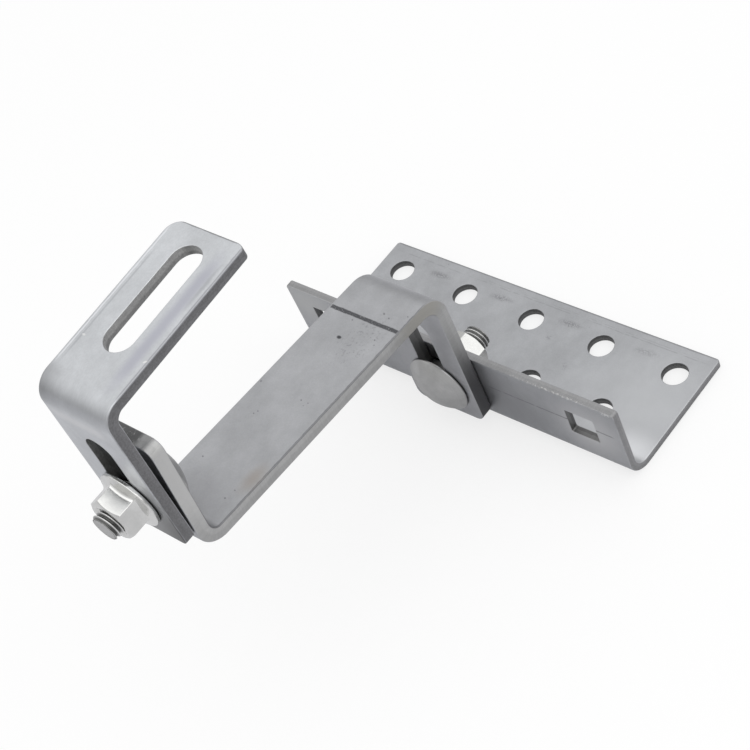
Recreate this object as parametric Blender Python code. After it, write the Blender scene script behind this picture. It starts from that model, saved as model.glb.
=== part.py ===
"""Solar roof hook: two folded strips of stainless bar on a wide folded base plate.

Metres, +Z up. The origin is the centre of the base plate's underside, where it lies on
the rafter. X runs along the base plate, and the hook reaches out towards -Y.
"""

import math

import bmesh
import bpy
from mathutils import Vector

# Base plate: wide angle that is screwed to the rafter
PLATE_LENGTH = 0.146
PLATE_DEPTH = 0.053
PLATE_HEIGHT = 0.034
PLATE_THICKNESS = 0.003
PLATE_BEND_RADIUS = 0.005
PLATE_CORNER_RADIUS = 0.0025
SCREW_HOLE_DIAMETER = 0.0095
OUTER_ROW_COUNT = 5
OUTER_ROW_EDGE_DISTANCE = 0.0115
INNER_ROW_EDGE_DISTANCE = 0.0352
SCREW_HOLE_END_DISTANCE = 0.011
SCREW_HOLE_PITCH = (PLATE_LENGTH - 2 * SCREW_HOLE_END_DISTANCE) / (OUTER_ROW_COUNT - 1)
SQUARE_HOLE_CORNER_RADIUS = 0.0006
SQUARE_HOLE_END_DISTANCE = 0.016
SQUARE_HOLE_PITCH = PLATE_LENGTH / 2 - SQUARE_HOLE_END_DISTANCE
SQUARE_HOLE_HEIGHT = 0.0205

# Hook arm: flat bar, bolted upright to the flange and folded out over the tile
STRIP_WIDTH = 0.030
ARM_THICKNESS = 0.005
ARM_FOOT_LENGTH = 0.064
ARM_FOOT_BELOW_BOLT = 0.014
ARM_REACH = 0.110
ARM_RISE = math.radians(4.0)
ARM_TIP_LENGTH = 0.043
ARM_TIP_LEAN = math.radians(2.5)
ARM_TOP_BEND_RADIUS = 0.005
ARM_TIP_BEND_RADIUS = 0.004
ARM_FOOT_CORNER_RADIUS = 0.0035
ARM_TIP_CORNER_RADIUS = 0.004
ARM_SLOT_LENGTH = 0.043
ARM_SLOT_BELOW_BOLT = 0.0095
TIP_HOLE_END_DISTANCE = 0.0226

# Rail bracket: slotted angle that carries the rail
BRACKET_THICKNESS = 0.004
BRACKET_FOOT_LENGTH = 0.0608
BRACKET_FOOT_BELOW_BOLT = 0.0156
BRACKET_REACH = 0.0649
BRACKET_RISE = math.radians(3.0)
BRACKET_BEND_RADIUS = 0.003
BRACKET_FOOT_CORNER_RADIUS = 0.002
BRACKET_END_CORNER_RADIUS = 0.005
FOOT_SLOT_LENGTH = 0.038
FOOT_SLOT_BELOW_BOLT = 0.0106
RAIL_SLOT_LENGTH = 0.040
RAIL_SLOT_END_DISTANCE = 0.006

# Carriage bolts, and the square holes and slots that take their necks
HEAD_DIAMETER = 0.024
HEAD_HEIGHT = 0.0054
HEAD_RIM = 0.0006
NECK_SIDE = 0.0100
NECK_LENGTH = 0.0062
SHANK_DIAMETER = 0.0096
BOLT_LENGTH = 0.0235
BOLT_END_CHAMFER = 0.0010
SQUARE_HOLE_CLEARANCE = 0.00075
SLOT_CLEARANCE = 0.00065
SQUARE_HOLE_SIDE = NECK_SIDE + 2 * SQUARE_HOLE_CLEARANCE
SLOT_WIDTH = NECK_SIDE + 2 * SLOT_CLEARANCE

# Flanged nuts
NUT_ACROSS_FLATS = 0.015
NUT_HEIGHT = 0.010
NUT_FLANGE_DIAMETER = 0.0218
NUT_FLANGE_RIM = 0.0014
NUT_FLANGE_SLOPE = math.radians(20.0)
NUT_CHAMFER_DIAMETER = 0.0142
NUT_CHAMFER_SLOPE = math.radians(30.0)
NUT_BORE_CHAMFER = 0.0005
BASE_NUT_TURN = math.radians(20.0)
RAIL_NUT_TURN = math.radians(46.0)

# Clearances and fineness
SEAT_GAP = 0.0003
THREAD_CLEARANCE = 0.0003
EDGE_CHAMFER = 0.0004
BEND_STEPS = 12
CORNER_STEPS = 8
TURN_STEPS = 48
DOME_STEPS = 5
SMOOTH_ANGLE = math.radians(35.0)
QUARTER_TURN = math.radians(90.0)


def clear_scene():
    for thing in list(bpy.data.objects):
        bpy.data.objects.remove(thing, do_unlink=True)


def steel(name, colour, roughness):
    """Stainless steel with one colour and one roughness."""
    material = bpy.data.materials.new(name)
    material.use_nodes = True
    shader = material.node_tree.nodes["Principled BSDF"]
    shader.inputs["Base Color"].default_value = (*colour, 1.0)
    shader.inputs["Metallic"].default_value = 1.0
    shader.inputs["Roughness"].default_value = roughness
    return material


def finished_object(name, bm, material):
    """Turns the bmesh into an object with outward faces and smooth bends."""
    bmesh.ops.recalc_face_normals(bm, faces=bm.faces)
    mesh = bpy.data.meshes.new(name)
    bm.to_mesh(mesh)
    bm.free()
    mesh.shade_smooth()
    mesh.set_sharp_from_angle(angle=SMOOTH_ANGLE)
    mesh.materials.append(material)
    thing = bpy.data.objects.new(name, mesh)
    bpy.context.scene.collection.objects.link(thing)
    return thing


def rounded_outline(centre, size, radii, inset=0.0):
    """Points round a rectangle with rounded corners. The two radii are for its near and
    far ends, and a radius of half the width makes that end a half circle."""
    half_x = size[0] / 2 - inset
    half_y = size[1] / 2 - inset
    corners = ((1, 1, radii[1]), (-1, 1, radii[1]), (-1, -1, radii[0]), (1, -1, radii[0]))
    points = []
    for index, (side, end, radius) in enumerate(corners):
        radius -= inset
        middle = Vector((side * (half_x - radius), end * (half_y - radius)))
        for step in range(CORNER_STEPS + 1):
            turn = QUARTER_TURN * (index + step / CORNER_STEPS)
            point = middle + radius * Vector((math.cos(turn), math.sin(turn)))
            if not points or (point - points[-1]).length > 1e-7:
                points.append(point)
    if (points[0] - points[-1]).length < 1e-7:
        points.pop()
    return [point + Vector(centre) for point in points]


def bridged_rings(bm, rings):
    """Joins rings of the same number of vertices, each to the next, with quads."""
    for lower, upper in zip(rings, rings[1:]):
        for index in range(len(lower)):
            after = (index + 1) % len(lower)
            bm.faces.new((lower[index], lower[after], upper[after], upper[index]))


def ring_edges(bm, ring):
    return [bm.edges.get((ring[index - 1], ring[index])) for index in range(len(ring))]


def flat_blank(length, width, thickness, end_radii, holes):
    """Flat strip as it is cut and punched, before folding: X is its width, Y runs along
    it from the end that is folded last, and Z is its thickness. Each hole is its centre,
    its size and its corner radius."""
    bm = bmesh.new()
    centre = (0.0, length / 2)
    profile = (
        (EDGE_CHAMFER, 0.0),
        (0.0, EDGE_CHAMFER),
        (0.0, thickness - EDGE_CHAMFER),
        (EDGE_CHAMFER, thickness),
    )
    sides = []
    for inset, height in profile:
        outline = rounded_outline(centre, (width, length), end_radii, inset)
        sides.append([bm.verts.new((*point, height)) for point in outline])
    bridged_rings(bm, sides)
    bottom_edges = ring_edges(bm, sides[0])
    top_edges = ring_edges(bm, sides[-1])
    for place, size, radius in holes:
        outline = rounded_outline(place, size, (radius, radius))
        wall = [[bm.verts.new((*point, height)) for point in outline] for height in (0.0, thickness)]
        bridged_rings(bm, wall)
        bottom_edges += ring_edges(bm, wall[0])
        top_edges += ring_edges(bm, wall[-1])
    bmesh.ops.triangle_fill(bm, use_beauty=True, edges=bottom_edges)
    bmesh.ops.triangle_fill(bm, use_beauty=True, edges=top_edges)
    return bm


def folding_plan(lengths, turns):
    """Bends of a strip, and the length of its blank, from the lengths of its lower face
    between the sharp corners and the turn and lower face radius at each corner. A turn to
    the left, towards the upper face, is positive."""
    bends = []
    along = 0.0
    setback = 0.0
    for length, (angle, radius) in zip(lengths, turns):
        along += length - setback
        setback = radius * math.tan(abs(angle) / 2)
        along -= setback
        bends.append({"start": along, "length": radius * abs(angle), "angle": angle, "radius": radius})
        along += radius * abs(angle)
    return bends, along + lengths[-1] - setback


def direction(heading):
    return Vector((math.cos(heading), math.sin(heading)))


def folded_point(along, depth, heading, bends):
    """Where a point of the blank lands in the YZ plane, once the blank's lower face sets
    out from the origin on the given heading and takes each bend in turn."""
    place = Vector((0.0, 0.0))
    travelled = 0.0
    for fold in bends:
        if along <= fold["start"]:
            break
        place += (fold["start"] - travelled) * direction(heading)
        travelled = fold["start"] + fold["length"]
        share = min(1.0, (along - fold["start"]) / fold["length"])
        to_centre = math.copysign(fold["radius"], fold["angle"])
        place += to_centre * direction(heading + QUARTER_TURN)
        heading += share * fold["angle"]
        place -= to_centre * direction(heading + QUARTER_TURN)
    straight = max(0.0, along - travelled)
    return place + straight * direction(heading) + depth * direction(heading + QUARTER_TURN)


def fold_blank(bm, heading, bends):
    """Scores the blank across each bend and folds it."""
    for fold in bends:
        for step in range(BEND_STEPS + 1):
            line = fold["start"] + fold["length"] * step / BEND_STEPS
            bmesh.ops.bisect_plane(
                bm,
                geom=[*bm.verts, *bm.edges, *bm.faces],
                dist=1e-7,
                plane_co=(0.0, line, 0.0),
                plane_no=(0.0, 1.0, 0.0),
            )
    for vertex in bm.verts:
        across, along, depth = vertex.co
        vertex.co = (across, *folded_point(along, depth, heading, bends))


def base_plate():
    """Wide angle: two rows of screw holes in the leg on the rafter, half a pitch apart,
    and square holes in the upright flange for the neck of the bolt."""
    lengths = (PLATE_DEPTH - PLATE_THICKNESS, PLATE_HEIGHT - PLATE_THICKNESS)
    bends, blank_length = folding_plan(lengths, [(-QUARTER_TURN, PLATE_BEND_RADIUS)])
    screw_hole = (SCREW_HOLE_DIAMETER, SCREW_HOLE_DIAMETER)
    square_hole = (SQUARE_HOLE_SIDE, SQUARE_HOLE_SIDE)
    rows = ((OUTER_ROW_COUNT, OUTER_ROW_EDGE_DISTANCE), (OUTER_ROW_COUNT - 1, INNER_ROW_EDGE_DISTANCE))
    holes = []
    for count, edge_distance in rows:
        for index in range(count):
            across = (index - (count - 1) / 2) * SCREW_HOLE_PITCH
            holes.append(((across, edge_distance), screw_hole, SCREW_HOLE_DIAMETER / 2))
    for index in (-1, 0, 1):
        place = (index * SQUARE_HOLE_PITCH, blank_length - PLATE_HEIGHT + SQUARE_HOLE_HEIGHT)
        holes.append((place, square_hole, SQUARE_HOLE_CORNER_RADIUS))
    radii = (PLATE_CORNER_RADIUS, PLATE_CORNER_RADIUS)
    bm = flat_blank(blank_length, PLATE_LENGTH, PLATE_THICKNESS, radii, holes)
    fold_blank(bm, 2 * QUARTER_TURN, bends)
    plate = finished_object("base_plate", bm, steel("base_plate_steel", (0.60, 0.60, 0.61), 0.36))
    plate.location = (0.0, PLATE_DEPTH / 2, PLATE_THICKNESS)
    return plate


def arm_folding():
    """Bends and blank length of the hook arm. Its lower face is the back of the foot, the
    top of the run and the inner side of the tip."""
    top_turn = QUARTER_TURN - ARM_RISE
    tip_turn = ARM_RISE - ARM_TIP_LEAN - QUARTER_TURN
    lengths = (ARM_FOOT_LENGTH, ARM_REACH, ARM_TIP_LENGTH)
    turns = ((top_turn, ARM_TOP_BEND_RADIUS + ARM_THICKNESS), (tip_turn, ARM_TIP_BEND_RADIUS))
    return folding_plan(lengths, turns)


def hook_arm():
    """Flat bar with a slotted foot against the flange, a long run over the tile and a tip
    with a square hole that the rail bracket is bolted to."""
    bends, blank_length = arm_folding()
    slot_place = (0.0, ARM_FOOT_BELOW_BOLT - ARM_SLOT_BELOW_BOLT + ARM_SLOT_LENGTH / 2)
    hole_place = (0.0, blank_length - TIP_HOLE_END_DISTANCE)
    holes = (
        (slot_place, (SLOT_WIDTH, ARM_SLOT_LENGTH), SLOT_WIDTH / 2),
        (hole_place, (SQUARE_HOLE_SIDE, SQUARE_HOLE_SIDE), SQUARE_HOLE_CORNER_RADIUS),
    )
    radii = (ARM_FOOT_CORNER_RADIUS, ARM_TIP_CORNER_RADIUS)
    bm = flat_blank(blank_length, STRIP_WIDTH, ARM_THICKNESS, radii, holes)
    fold_blank(bm, QUARTER_TURN, bends)
    arm = finished_object("hook_arm", bm, steel("hook_arm_steel", (0.58, 0.58, 0.59), 0.34))
    arm.location = (0.0, ARM_BACK, SQUARE_HOLE_HEIGHT - ARM_FOOT_BELOW_BOLT)
    return arm


def arm_outermost():
    """How far the outside of the tip bend reaches, where the bar heads straight up."""
    bends, _ = arm_folding()
    top_bend, tip_bend = bends
    turn_until_upright = top_bend["angle"] / abs(tip_bend["angle"])
    along = tip_bend["start"] + tip_bend["length"] * turn_until_upright
    return ARM_BACK + folded_point(along, ARM_THICKNESS, QUARTER_TURN, bends).x


def tip_inner_side(from_end):
    """Y and Z of the middle of the tip's leaning inner side, at a distance from its end."""
    bends, blank_length = arm_folding()
    place = folded_point(blank_length - from_end, 0.0, QUARTER_TURN, bends)
    return ARM_BACK + place.x, SQUARE_HOLE_HEIGHT - ARM_FOOT_BELOW_BOLT + place.y


def rail_bracket():
    """Angle with a slot in each leg: the lower one takes the bolt through the arm's tip,
    so the rail's height can be set, and the upper one takes the rail's own bolt."""
    turn = QUARTER_TURN - BRACKET_RISE
    inside_corner = BRACKET_THICKNESS * math.tan(turn / 2)
    lengths = (BRACKET_FOOT_LENGTH - inside_corner, BRACKET_REACH - inside_corner)
    bends, blank_length = folding_plan(lengths, [(-turn, BRACKET_BEND_RADIUS)])
    foot_slot_place = (0.0, BRACKET_FOOT_BELOW_BOLT - FOOT_SLOT_BELOW_BOLT + FOOT_SLOT_LENGTH / 2)
    rail_slot_place = (0.0, blank_length - RAIL_SLOT_END_DISTANCE - RAIL_SLOT_LENGTH / 2)
    holes = (
        (foot_slot_place, (SLOT_WIDTH, FOOT_SLOT_LENGTH), SLOT_WIDTH / 2),
        (rail_slot_place, (SLOT_WIDTH, RAIL_SLOT_LENGTH), SLOT_WIDTH / 2),
    )
    radii = (BRACKET_FOOT_CORNER_RADIUS, BRACKET_END_CORNER_RADIUS)
    bm = flat_blank(blank_length, STRIP_WIDTH, BRACKET_THICKNESS, radii, holes)
    fold_blank(bm, QUARTER_TURN, bends)
    bracket = finished_object("rail_bracket", bm, steel("rail_bracket_steel", (0.66, 0.67, 0.69), 0.32))
    bracket.location = (0.0, BRACKET_BACK, TIP_BOLT_HEIGHT - BRACKET_FOOT_BELOW_BOLT)
    return bracket


def polygon_radius(angle, across_flats, corners):
    """Distance from the centre to the side of a regular polygon with a corner at angle 0."""
    half = math.pi / corners
    return across_flats / 2 / math.cos(angle % (2 * half) - half)


def ring_around(bm, shape):
    """Ring of vertices round the Z axis. The shape gives radius and height at an angle."""
    ring = []
    for step in range(TURN_STEPS):
        angle = 2 * math.pi * step / TURN_STEPS
        radius, height = shape(angle)
        ring.append(bm.verts.new((radius * math.cos(angle), radius * math.sin(angle), height)))
    return ring


def circle_ring(bm, radius, height):
    return ring_around(bm, lambda angle: (radius, height))


def square_ring(bm, side, height):
    return ring_around(bm, lambda angle: (polygon_radius(angle + math.pi / 4, side, 4), height))


def carriage_bolt_mesh():
    """Domed head below Z = 0, then the square neck and the round shank above it."""
    bm = bmesh.new()
    head_radius = HEAD_DIAMETER / 2
    dome_height = HEAD_HEIGHT - HEAD_RIM
    dome_radius = (head_radius**2 + dome_height**2) / (2 * dome_height)
    dome_turn = math.asin(head_radius / dome_radius)
    shank_radius = SHANK_DIAMETER / 2
    rings = []
    for step in range(DOME_STEPS + 1):
        turn = dome_turn * step / DOME_STEPS
        height = dome_radius * (1 - math.cos(turn)) - HEAD_HEIGHT
        rings.append(circle_ring(bm, dome_radius * math.sin(turn), height))
    rings.append(circle_ring(bm, head_radius, 0.0))
    rings.append(square_ring(bm, NECK_SIDE, 0.0))
    rings.append(square_ring(bm, NECK_SIDE, NECK_LENGTH))
    rings.append(circle_ring(bm, shank_radius, NECK_LENGTH))
    rings.append(circle_ring(bm, shank_radius, BOLT_LENGTH - BOLT_END_CHAMFER))
    rings.append(circle_ring(bm, shank_radius - BOLT_END_CHAMFER, BOLT_LENGTH))
    rings.append(circle_ring(bm, 0.0, BOLT_LENGTH))
    bridged_rings(bm, rings)
    bmesh.ops.remove_doubles(bm, verts=bm.verts, dist=1e-7)
    return bm


def flanged_nut_mesh():
    """Hexagon on a round sloping flange, seated on Z = 0, with a plain bore."""
    bm = bmesh.new()
    flange_radius = NUT_FLANGE_DIAMETER / 2
    chamfer_radius = NUT_CHAMFER_DIAMETER / 2
    bore_radius = SHANK_DIAMETER / 2 + THREAD_CLEARANCE
    mouth_radius = bore_radius + NUT_BORE_CHAMFER

    def flange_foot(angle):
        radius = polygon_radius(angle, NUT_ACROSS_FLATS, 6)
        return radius, NUT_FLANGE_RIM + (flange_radius - radius) * math.tan(NUT_FLANGE_SLOPE)

    def chamfer_edge(angle):
        radius = polygon_radius(angle, NUT_ACROSS_FLATS, 6)
        return radius, NUT_HEIGHT - (radius - chamfer_radius) * math.tan(NUT_CHAMFER_SLOPE)

    rings = [
        circle_ring(bm, bore_radius, NUT_BORE_CHAMFER),
        circle_ring(bm, mouth_radius, 0.0),
        circle_ring(bm, flange_radius, 0.0),
        circle_ring(bm, flange_radius, NUT_FLANGE_RIM),
        ring_around(bm, flange_foot),
        ring_around(bm, chamfer_edge),
        circle_ring(bm, chamfer_radius, NUT_HEIGHT),
        circle_ring(bm, mouth_radius, NUT_HEIGHT),
        circle_ring(bm, bore_radius, NUT_HEIGHT - NUT_BORE_CHAMFER),
    ]
    bridged_rings(bm, [*rings, rings[0]])
    return bm


def fasteners():
    """One bolt and nut through the foot and the flange, with the head in front, and the
    same pair the other way round through the tip and the bracket."""
    base_seat = ARM_BACK - ARM_THICKNESS - SEAT_GAP
    head_top_touch, _ = tip_inner_side(TIP_HOLE_END_DISTANCE - HEAD_DIAMETER / 2)
    tip_seat = head_top_touch + SEAT_GAP
    base_nut_seat = PLATE_FRONT + PLATE_THICKNESS + SEAT_GAP
    rail_nut_seat = BRACKET_BACK - BRACKET_THICKNESS - SEAT_GAP
    bolts = (
        ("base_bolt", base_seat, SQUARE_HOLE_HEIGHT, -QUARTER_TURN, 0.0),
        ("rail_bolt", tip_seat, TIP_BOLT_HEIGHT, QUARTER_TURN, 0.0),
    )
    nuts = (
        ("base_nut", base_nut_seat, SQUARE_HOLE_HEIGHT, -QUARTER_TURN, BASE_NUT_TURN),
        ("rail_nut", rail_nut_seat, TIP_BOLT_HEIGHT, QUARTER_TURN, RAIL_NUT_TURN),
    )
    for shape, colour, roughness, places in (
        (carriage_bolt_mesh, (0.62, 0.61, 0.59), 0.28, bolts),
        (flanged_nut_mesh, (0.70, 0.69, 0.66), 0.22, nuts),
    ):
        for name, seat, height, tilt, turn in places:
            fastener = finished_object(name, shape(), steel(name + "_steel", colour, roughness))
            fastener.location = (0.0, seat, height)
            fastener.rotation_euler = (tilt, -turn, 0.0)


clear_scene()
PLATE_FRONT = -PLATE_DEPTH / 2
ARM_BACK = PLATE_FRONT - SEAT_GAP
BRACKET_BACK = arm_outermost() - SEAT_GAP
TIP_BOLT_HEIGHT = tip_inner_side(TIP_HOLE_END_DISTANCE)[1]
base_plate()
hook_arm()
rail_bracket()
fasteners()
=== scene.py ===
"""Solar roof hook with its real surfaces: two folded strips of stainless bar on a wide
folded base plate, held together by two carriage bolts with flanged nuts."""

import math

import bmesh
import bpy
from mathutils import Matrix, Vector, noise


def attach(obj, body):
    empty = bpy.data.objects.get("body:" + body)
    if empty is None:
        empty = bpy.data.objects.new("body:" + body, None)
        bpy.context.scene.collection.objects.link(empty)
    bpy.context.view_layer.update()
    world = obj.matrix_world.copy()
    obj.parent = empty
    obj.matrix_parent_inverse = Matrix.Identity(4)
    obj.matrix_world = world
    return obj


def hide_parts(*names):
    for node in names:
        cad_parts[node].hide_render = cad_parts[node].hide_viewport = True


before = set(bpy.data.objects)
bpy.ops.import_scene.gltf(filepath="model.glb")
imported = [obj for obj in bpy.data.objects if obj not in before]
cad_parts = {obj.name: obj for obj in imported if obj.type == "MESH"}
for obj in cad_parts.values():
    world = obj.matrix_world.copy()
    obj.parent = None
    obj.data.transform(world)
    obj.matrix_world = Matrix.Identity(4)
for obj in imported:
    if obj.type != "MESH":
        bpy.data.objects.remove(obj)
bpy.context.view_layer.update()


# BASE PLATE
# Wide angle of 3 mm stainless sheet. It is sheared to length, punched with two rows of
# round holes for wood screws and three square ones for a bolt's neck, and then folded in
# a press. The wide leg is screwed down on the rafter.

PLATE_LENGTH = 0.146
PLATE_DEPTH = 0.053
PLATE_HEIGHT = 0.034
PLATE_THICKNESS = 0.003
PLATE_BEND_RADIUS = 0.005
PLATE_CORNER_RADIUS = 0.0013
SCREW_HOLE_DIAMETER = 0.0095
SCREW_HOLE_PITCH = 0.031
SCREW_ROWS = ((5, 0.0115), (4, 0.0352))  # how many holes, and how far from the edge
SQUARE_HOLE_SIDE = 0.0115
SQUARE_HOLE_CORNER = 0.0006
SQUARE_HOLE_PITCH = 0.057
SQUARE_HOLE_HEIGHT = 0.0205
SHEARED_EDGE = 0.0004
PUNCHED_EDGE = 0.00025
EDGE_BAND = 0.0008
SHEARED_RIPPLE = 0.00003
RIPPLES_PER_METRE = 180
BLANK_CORNER_STEPS = 10
HOLE_CORNER_STEPS = 12
EDGE_STEPS = 4
BEND_STEPS = 24
PLATE_BEND_SWELL = (0.0, 0.00015)
SWELL_POWER = 10
SMOOTH_UP_TO = math.radians(38.0)
QUARTER = math.radians(90.0)


def sheared_outline(centre, size, radii, inset, steps):
    """Points round a sheared blank or a punched hole, drawn inwards by the inset. The radii
    are for its two near corners, its far left and its far right one, across and along."""
    half = Vector((size[0] / 2 - inset, size[1] / 2 - inset))
    corners = ((1, 1, radii[2]), (-1, 1, radii[1]), (-1, -1, radii[0]), (1, -1, radii[0]))
    points = []
    for index, (side, end, radius) in enumerate(corners):
        reach = Vector((radius[0] - inset, radius[1] - inset))
        middle = Vector((side * (half.x - reach.x), end * (half.y - reach.y)))
        for step in range(steps + 1):
            turn = QUARTER * (index + step / steps)
            points.append(middle + Vector((reach.x * math.cos(turn), reach.y * math.sin(turn))))
    pairs = zip(points, points[-1:] + points[:-1])
    kept = [point for point, before in pairs if (point - before).length > 1e-6]
    return [point + Vector(centre) for point in kept]


def edge_section(rounding, thickness):
    """Section of a sheared edge, from one face of the sheet to the other. Each row is the
    inset, the height, how far it is rounded and how far it faces sideways."""
    rows = [(rounding + EDGE_BAND, 0.0, 0.0, 0.0)]
    for step in range(EDGE_STEPS + 1):
        turn = QUARTER * step / EDGE_STEPS
        inset = rounding * (1 - math.sin(turn))
        height = rounding * (1 - math.cos(turn))
        rows.append((inset, height, math.sin(2 * turn), step / EDGE_STEPS))
    far_rows = [(inset, thickness - height, worn, side) for inset, height, worn, side in rows]
    return rows + far_rows[::-1]


def bridge(bm, rings):
    """Joins each ring of points to the next with four-sided faces."""
    for lower, upper in zip(rings, rings[1:]):
        for index in range(len(lower)):
            after = (index + 1) % len(lower)
            bm.faces.new((lower[index], lower[after], upper[after], upper[index]))


def punched_blank(length, width, thickness, end_radii, holes):
    """The flat blank as it leaves the shear and the punch. X is its width, Y runs along
    it, and Z is its thickness. The sheared edge ripples a little, never outwards."""
    bm = bmesh.new()
    worn_layer = bm.verts.layers.float.new("rounded_edge")
    side_layer = bm.verts.layers.float.new("cut_side")
    punched_layer = bm.verts.layers.float.new("punched")
    rims = {0: [], 1: []}
    outline = ((0.0, length / 2), (width, length), end_radii, BLANK_CORNER_STEPS, SHEARED_EDGE, 1)
    cuts = [outline] + [
        (place, size, [(radius, radius)] * 3, HOLE_CORNER_STEPS, PUNCHED_EDGE, -1)
        for place, size, radius in holes
    ]
    for centre, size, radii, steps, rounding, inwards in cuts:
        rings = []
        for inset, height, worn, side in edge_section(rounding, thickness):
            ring = []
            for point in sheared_outline(centre, size, radii, inwards * inset, steps):
                if inwards > 0 and inset < rounding:
                    away = point - Vector(centre)
                    waver = 1 + noise.noise(Vector((point.x, point.y, height)) * RIPPLES_PER_METRE)
                    point = point - away.normalized() * SHEARED_RIPPLE * max(0.0, waver)
                vertex = bm.verts.new((*point, height))
                vertex[worn_layer] = worn
                vertex[side_layer] = side
                vertex[punched_layer] = 0.0 if inwards > 0 else 1.0
                ring.append(vertex)
            rings.append(ring)
        bridge(bm, rings)
        for face, ring in ((0, rings[0]), (1, rings[-1])):
            pairs = [(ring[index - 1], ring[index]) for index in range(len(ring))]
            rims[face] += [bm.edges.get(pair) for pair in pairs]
    for rim in rims.values():
        bmesh.ops.triangle_fill(bm, use_beauty=True, edges=rim)
    return bm


def bend_lines(lengths, turns):
    """Where each bend starts on the blank, and the blank's length, from the outside
    lengths of its lower face and the turn and radius of each bend."""
    bends = []
    along = 0.0
    setback = 0.0
    for length, (angle, radius) in zip(lengths, turns):
        along += length - setback
        setback = radius * math.tan(abs(angle) / 2)
        along -= setback
        arc = radius * abs(angle)
        bends.append({"start": along, "length": arc, "angle": angle, "radius": radius})
        along += arc
    return bends, along + lengths[-1] - setback


def heading_to(turn):
    """Step of length 1 in that direction, in Y and Z."""
    return Vector((math.cos(turn), math.sin(turn)))


def pressed_point(along, depth, heading, bends):
    """Where a point of the blank ends up, in Y and Z, after the press has made the bends."""
    place = Vector((0.0, 0.0))
    travelled = 0.0
    for fold in bends:
        if along <= fold["start"]:
            break
        place += (fold["start"] - travelled) * heading_to(heading)
        travelled = fold["start"] + fold["length"]
        share = min(1.0, (along - fold["start"]) / fold["length"])
        to_centre = math.copysign(fold["radius"], fold["angle"])
        place += to_centre * heading_to(heading + QUARTER)
        heading += share * fold["angle"]
        place -= to_centre * heading_to(heading + QUARTER)
    straight = max(0.0, along - travelled)
    return place + straight * heading_to(heading) + depth * heading_to(heading + QUARTER)


def squeezed(across, along, depth, half_width, thickness, bends, swell):
    """In a bend the metal on the inside is squeezed out sideways and the outside draws in.
    The swell is how far each does so, at the strip's edge."""
    for fold in bends:
        share = (along - fold["start"]) / fold["length"]
        if 0.0 < share < 1.0:
            inner = depth / thickness if fold["angle"] > 0 else 1 - depth / thickness
            near_edge = (abs(across) / half_width) ** SWELL_POWER
            side = math.copysign(1.0, across)
            outwards = swell[0] * inner - swell[1] * (1 - inner)
            return across + side * outwards * near_edge * math.sin(math.pi * share)
    return across


def pressed_strip(name, bm, width, thickness, heading, bends, place, swell):
    """Scores the blank across each bend, folds it and returns the finished object."""
    for fold in bends:
        for step in range(BEND_STEPS + 1):
            line = fold["start"] + fold["length"] * step / BEND_STEPS
            bmesh.ops.bisect_plane(
                bm,
                geom=[*bm.verts, *bm.edges, *bm.faces],
                dist=1e-7,
                plane_co=(0.0, line, 0.0),
                plane_no=(0.0, 1.0, 0.0),
            )
    blank_layer = bm.verts.layers.float_vector.new("blank_place")
    for vertex in bm.verts:
        across, along, depth = vertex.co
        vertex[blank_layer] = vertex.co.copy()
        across = squeezed(across, along, depth, width / 2, thickness, bends, swell)
        vertex.co = (across, *pressed_point(along, depth, heading, bends))
    return smooth_piece(name, bm, place)


def smooth_piece(name, bm, place):
    """Makes the object, shades it smooth, and keeps its flat faces flat."""
    bmesh.ops.recalc_face_normals(bm, faces=bm.faces)
    mesh = bpy.data.meshes.new(name)
    bm.to_mesh(mesh)
    bm.free()
    mesh.shade_smooth()
    mesh.set_sharp_from_angle(angle=SMOOTH_UP_TO)
    piece = bpy.data.objects.new(name, mesh)
    bpy.context.scene.collection.objects.link(piece)
    piece.location = place
    weighting = piece.modifiers.new("flat faces stay flat", "WEIGHTED_NORMAL")
    weighting.keep_sharp = True
    return piece


def shading_node(tree, kind, settings=(), inputs=()):
    """A shading node with its settings and inputs. An input is a value or a socket."""
    node = tree.nodes.new(kind)
    for key, value in dict(settings).items():
        setattr(node, key, value)
    for key, value in dict(inputs).items():
        if isinstance(value, bpy.types.NodeSocket):
            tree.links.new(value, node.inputs[key])
        else:
            node.inputs[key].default_value = value
    return node


def reckoned(tree, operation, first, second=0.0):
    """Arithmetic on one or two values or sockets."""
    inputs = {0: first} if operation in ("ABSOLUTE", "SQRT") else {0: first, 1: second}
    return shading_node(tree, "ShaderNodeMath", {"operation": operation}, inputs).outputs[0]


def ranged(tree, value, low, high, start=0.0, end=1.0):
    """Goes smoothly from start to end while the value goes from low to high."""
    inputs = {"Value": value, "From Min": low, "From Max": high, "To Min": start, "To Max": end}
    settings = {"interpolation_type": "SMOOTHSTEP"}
    return shading_node(tree, "ShaderNodeMapRange", settings, inputs).outputs["Result"]


def cloudy(tree, place, size, detail=2.0, stretch=(1.0, 1.0, 1.0), shift=0.0):
    """Irregular pattern whose lumps have about that size, longer where stretch is more."""
    scale = [1.0 / (size * share) for share in stretch]
    inputs = {"Vector": place, "Scale": scale, "Location": (shift, shift, shift)}
    spread = shading_node(tree, "ShaderNodeMapping", (), inputs).outputs[0]
    inputs = {"Vector": spread, "Scale": 1.0, "Detail": detail, "Roughness": 0.55}
    return shading_node(tree, "ShaderNodeTexNoise", (), inputs).outputs[0]


def coloured(tree, share, below, above, blend="MIX"):
    """Lays one colour over another by a share of it."""
    settings = {"data_type": "RGBA", "blend_type": blend}
    node = shading_node(tree, "ShaderNodeMix", settings)
    # Of this node's sockets, inputs 6 and 7 and output 2 are the colours.
    for number, value in ((0, share), (6, below), (7, above)):
        socket = node.inputs[number]
        if isinstance(value, bpy.types.NodeSocket):
            tree.links.new(value, socket)
        elif isinstance(value, tuple) and len(value) == 3:
            socket.default_value = (*value, 1.0)
        else:
            socket.default_value = value
    return node.outputs[2]


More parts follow.
